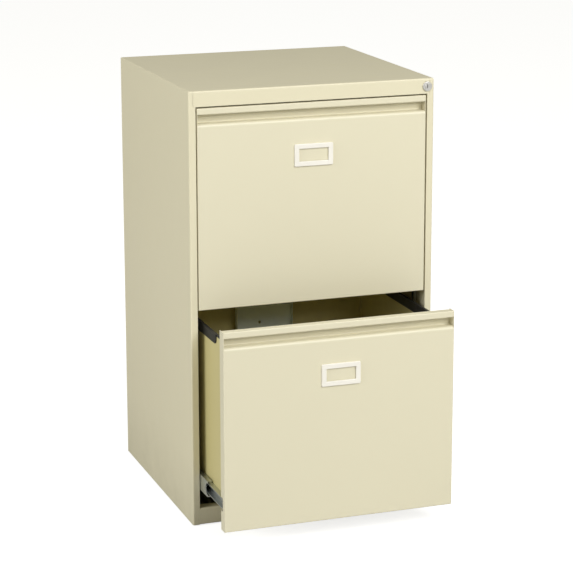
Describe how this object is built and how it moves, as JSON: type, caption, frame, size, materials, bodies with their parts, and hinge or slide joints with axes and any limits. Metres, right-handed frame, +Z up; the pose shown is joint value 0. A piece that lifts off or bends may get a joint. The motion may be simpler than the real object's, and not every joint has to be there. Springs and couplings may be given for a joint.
{
  "type": "filing cabinet",
  "caption": "Upright painted steel filing cabinet with flush drawers on ball-bearing slides, recessed full-width pulls, label frames and a corner lock.",
  "frame": {"origin": "centre of the underside of the box that just holds the cabinet at rest, at floor level, with the lower drawer open by 125 mm", "axes": "+Z up, +Y towards the back, +X to the right of a person facing the drawers"},
  "size_m": [0.413, 0.528, 0.711],
  "materials": {
    "case_paint": "satin powder coat",
    "drawer_paint": "satin powder coat",
    "label_white": "satin",
    "rail_plastic": "matte",
    "cage_plastic": "matte",
    "glide_plastic": "matte",
    "zinc_plate": "zinc plated",
    "ball_steel": "polished",
    "lock_chrome": "bright plated"
  },
  "bodies": {
    "cabinet": {"back_panel": "case_paint", "base_pan": "zinc_plate", "base_rail": "case_paint", "case_side_left": "case_paint", "case_side_right": "case_paint", "case_top": "case_paint", "glides": "glide_plastic", "lock_bar_guides": "zinc_plate", "lock_barrel": "lock_chrome", "lock_nut": "zinc_plate", "lower_runner_bracket_left": "zinc_plate", "lower_runner_bracket_right": "zinc_plate", "lower_slide_fixed_left": "zinc_plate", "lower_slide_fixed_right": "zinc_plate", "slide_rivets": "zinc_plate", "upper_runner_bracket_left": "zinc_plate", "upper_runner_bracket_right": "zinc_plate", "upper_slide_fixed_left": "zinc_plate", "upper_slide_fixed_right": "zinc_plate"},
    "lock_plug": {"lock_plug": "lock_chrome", "lock_spindle": "zinc_plate"},
    "lock_bar": {"lock_bar": "zinc_plate"},
    "upper_drawer": {"upper_drawer_front": "drawer_paint", "upper_label_frame": "label_white", "upper_drawer_inner_front": "drawer_paint", "upper_drawer_pan": "drawer_paint", "upper_drawer_back": "drawer_paint", "upper_drawer_rivets": "zinc_plate", "upper_drawer_catch": "zinc_plate", "upper_follower_track": "zinc_plate", "upper_file_rail_left": "rail_plastic", "upper_file_rail_right": "rail_plastic", "upper_slide_drawer_left": "zinc_plate", "upper_slide_drawer_right": "zinc_plate"},
    "upper_follower": {"upper_follower": "zinc_plate"},
    "upper_slide_middle_left": {"upper_slide_middle_left": "zinc_plate"},
    "upper_slide_middle_right": {"upper_slide_middle_right": "zinc_plate"},
    "upper_outer_balls": {"upper_outer_ball_cages": "cage_plastic", "upper_outer_balls": "ball_steel"},
    "upper_inner_balls": {"upper_inner_ball_cages": "cage_plastic", "upper_inner_balls": "ball_steel"},
    "lower_drawer": {"lower_drawer_front": "drawer_paint", "lower_label_frame": "label_white", "lower_drawer_inner_front": "drawer_paint", "lower_drawer_pan": "drawer_paint", "lower_drawer_back": "drawer_paint", "lower_drawer_rivets": "zinc_plate", "lower_drawer_catch": "zinc_plate", "lower_follower_track": "zinc_plate", "lower_file_rail_left": "rail_plastic", "lower_file_rail_right": "rail_plastic", "lower_slide_drawer_left": "zinc_plate", "lower_slide_drawer_right": "zinc_plate"},
    "lower_follower": {"lower_follower": "zinc_plate"},
    "lower_slide_middle_left": {"lower_slide_middle_left": "zinc_plate"},
    "lower_slide_middle_right": {"lower_slide_middle_right": "zinc_plate"},
    "lower_outer_balls": {"lower_outer_ball_cages": "cage_plastic", "lower_outer_balls": "ball_steel"},
    "lower_inner_balls": {"lower_inner_ball_cages": "cage_plastic", "lower_inner_balls": "ball_steel"}
  },
  "joints": [
    {"name": "upper_drawer_slide", "type": "slide", "parent": "cabinet", "child": "upper_drawer", "axis": [0, -1, 0], "range_m": [0, 0.33]},
    {"name": "upper_follower_slide", "type": "slide", "parent": "upper_drawer", "child": "upper_follower", "axis": [0, -1, 0], "range_m": [0, 0.3]},
    {"name": "upper_slide_middle_left_travel", "type": "slide", "parent": "cabinet", "child": "upper_slide_middle_left", "axis": [0, -1, 0], "range_m": [0, 0.165]},
    {"name": "upper_slide_middle_right_travel", "type": "slide", "parent": "cabinet", "child": "upper_slide_middle_right", "axis": [0, -1, 0], "range_m": [0, 0.165]},
    {"name": "upper_outer_balls_travel", "type": "slide", "parent": "cabinet", "child": "upper_outer_balls", "axis": [0, -1, 0], "range_m": [0, 0.0825]},
    {"name": "upper_inner_balls_travel", "type": "slide", "parent": "cabinet", "child": "upper_inner_balls", "axis": [0, -1, 0], "range_m": [0, 0.2475]},
    {"name": "lower_drawer_slide", "type": "slide", "parent": "cabinet", "child": "lower_drawer", "axis": [0, -1, 0], "range_m": [-0.125, 0.205]},
    {"name": "lower_follower_slide", "type": "slide", "parent": "lower_drawer", "child": "lower_follower", "axis": [0, -1, 0], "range_m": [0, 0.3]},
    {"name": "lower_slide_middle_left_travel", "type": "slide", "parent": "cabinet", "child": "lower_slide_middle_left", "axis": [0, -1, 0], "range_m": [-0.0625, 0.1025]},
    {"name": "lower_slide_middle_right_travel", "type": "slide", "parent": "cabinet", "child": "lower_slide_middle_right", "axis": [0, -1, 0], "range_m": [-0.0625, 0.1025]},
    {"name": "lower_outer_balls_travel", "type": "slide", "parent": "cabinet", "child": "lower_outer_balls", "axis": [0, -1, 0], "range_m": [-0.03125, 0.05125]},
    {"name": "lower_inner_balls_travel", "type": "slide", "parent": "cabinet", "child": "lower_inner_balls", "axis": [0, -1, 0], "range_m": [-0.09375, 0.15375]},
    {"name": "lock_turn", "type": "hinge", "parent": "cabinet", "child": "lock_plug", "pos_m": [0.1945, -0.136, 0.698], "axis": [0, -1, 0], "range_deg": [0, 90]},
    {"name": "lock_bar_rise", "type": "slide", "parent": "cabinet", "child": "lock_bar", "axis": [0, 0, 1], "range_m": [0, 0.01131]}
  ],
  "couplings": [
    {"joint": "upper_slide_middle_left_travel", "follows": "upper_drawer_slide", "ratio": 0.5},
    {"joint": "upper_slide_middle_right_travel", "follows": "upper_drawer_slide", "ratio": 0.5},
    {"joint": "upper_outer_balls_travel", "follows": "upper_drawer_slide", "ratio": 0.25},
    {"joint": "upper_inner_balls_travel", "follows": "upper_drawer_slide", "ratio": 0.75},
    {"joint": "lower_slide_middle_left_travel", "follows": "lower_drawer_slide", "ratio": 0.5},
    {"joint": "lower_slide_middle_right_travel", "follows": "lower_drawer_slide", "ratio": 0.5},
    {"joint": "lower_outer_balls_travel", "follows": "lower_drawer_slide", "ratio": 0.25},
    {"joint": "lower_inner_balls_travel", "follows": "lower_drawer_slide", "ratio": 0.75},
    {"joint": "lock_turn", "follows": "lock_bar_rise", "rad_per_m": 138.85}
  ]
}
